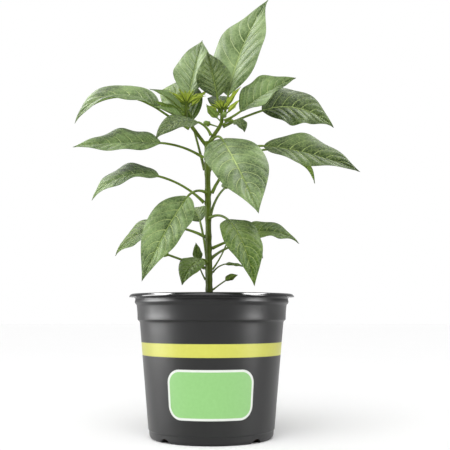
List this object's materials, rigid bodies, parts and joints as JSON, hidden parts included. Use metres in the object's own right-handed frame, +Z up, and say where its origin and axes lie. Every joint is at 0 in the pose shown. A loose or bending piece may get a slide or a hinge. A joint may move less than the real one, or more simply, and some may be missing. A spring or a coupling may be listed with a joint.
{
  "type": "potted chilli pepper plant",
  "caption": "Young chilli pepper plant with long-stalked pointed leaves, standing in the soil of a thin tapered black nursery pot.",
  "frame": {"origin": "centre of the pot's flat underside", "axes": "+Z up along the pot's axis, -Y the front of the plant, +X to the right seen from the front"},
  "size_m": [0.1993, 0.1425, 0.3188],
  "materials": {
    "pot_plastic": "thin moulded black plastic, satin gloss, with one pale yellow-green band",
    "soil": "moist dark potting mix with bark crumbs and pale grit, matte",
    "stem": "green stem turning brown at the joints, slightly waxy",
    "leaf": "mid-green leaf with pale veins and a soft sheen, paler underneath",
    "young_leaf": "yellow-green young leaf and bud, soft sheen"
  },
  "bodies": {
    "root": {"pot": "pot_plastic", "potting_soil": "soil", "stem": "stem", "leaf_crown_right": "leaf", "leaf_crown_left": "leaf", "leaf_crown_centre": "leaf", "leaf_crown_right_back": "leaf", "leaf_upper_left": "leaf", "leaf_upper_right_back": "leaf", "leaf_upper_right_front": "leaf", "leaf_upper_front": "leaf", "leaf_front_right": "leaf", "leaf_middle_left": "leaf", "leaf_middle_right": "leaf", "leaf_middle_right_back": "leaf", "leaf_middle_left_back": "leaf", "leaf_middle_back": "leaf", "leaf_half_left": "leaf", "leaf_front_left": "leaf", "leaf_inner_right": "leaf", "leaf_low_front_right": "leaf", "leaf_low_left_back": "leaf", "leaf_low_right_back": "leaf", "leaf_inner_back": "leaf", "leaf_inner_left_back": "leaf", "leaf_low_left": "leaf", "leaf_inner_left": "leaf", "small_leaf_upright": "leaf", "small_leaf_thin_right": "leaf", "small_leaf_hidden_right": "leaf", "small_leaf_side_shoot": "leaf", "young_leaf_left_long": "young_leaf", "young_leaf_left_thin": "young_leaf", "young_leaf_left_low": "leaf", "young_leaf_left_point": "young_leaf", "young_leaf_right_point": "young_leaf", "young_leaf_right_thin": "young_leaf", "young_leaf_right_spike": "young_leaf", "young_leaf_right_left": "young_leaf", "young_leaf_right_curled": "leaf", "flower_bud_left": "young_leaf", "flower_bud_front": "young_leaf", "flower_bud_right": "young_leaf", "growing_tip_left": "young_leaf", "growing_tip_right": "young_leaf"}
  },
  "joints": []
}
